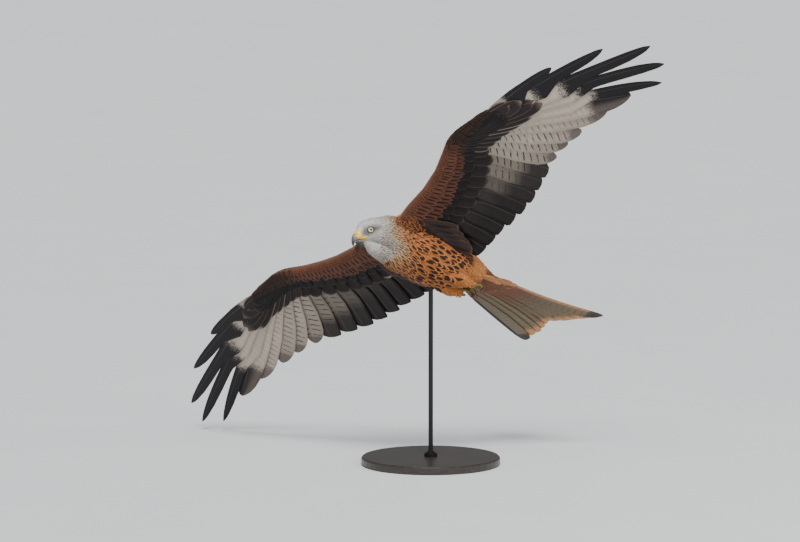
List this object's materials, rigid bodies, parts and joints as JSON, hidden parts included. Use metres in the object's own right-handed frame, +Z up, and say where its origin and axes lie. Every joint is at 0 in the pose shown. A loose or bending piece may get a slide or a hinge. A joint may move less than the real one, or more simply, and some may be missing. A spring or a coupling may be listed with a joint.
{
  "type": "red kite bird model",
  "caption": "Life-size still model of a fork-tailed bird of prey gliding in a bank, wings spread, on a round base with one short rod.",
  "frame": {"origin": "middle of the flat underside of the stand's base, where it rests on the floor", "axes": "+Z up; the bird heads towards -X and a little towards -Y, with its left wing raised towards +X and its right wing lowered towards -X"},
  "size_m": [1.0183, 0.925, 0.961],
  "materials": {
    "head_feathers": "matte feather, pale grey with fine dark streaks",
    "body_feathers": "matte feather, rufous with blackish drop-shaped streaks",
    "wing_feathers": "feather with a slight sheen, blackish brown with a white hand patch",
    "tail_feathers": "feather with a slight sheen, greyish buff and rufous with faint bars",
    "cere": "smooth waxy skin, yellow",
    "horn": "polished horn, grey to near black at the tips",
    "eye": "wet and glossy, pale yellow with a black pupil",
    "foot_skin": "scaly skin, yellow",
    "stand": "satin dark grey paint"
  },
  "bodies": {
    "root": {"head": "head_feathers", "cere": "cere", "upper_bill": "horn", "lower_bill": "horn", "neck": "body_feathers", "torso": "body_feathers", "tail": "tail_feathers", "stand_base": "stand", "stand_rod": "stand", "left_eye": "eye", "left_wing": "wing_feathers", "left_thigh": "body_feathers", "left_foot": "foot_skin", "left_claw_1": "horn", "left_claw_2": "horn", "left_claw_3": "horn", "left_claw_4": "horn", "right_eye": "eye", "right_wing": "wing_feathers", "right_thigh": "body_feathers", "right_foot": "foot_skin", "right_claw_1": "horn", "right_claw_2": "horn", "right_claw_3": "horn", "right_claw_4": "horn"}
  },
  "joints": []
}
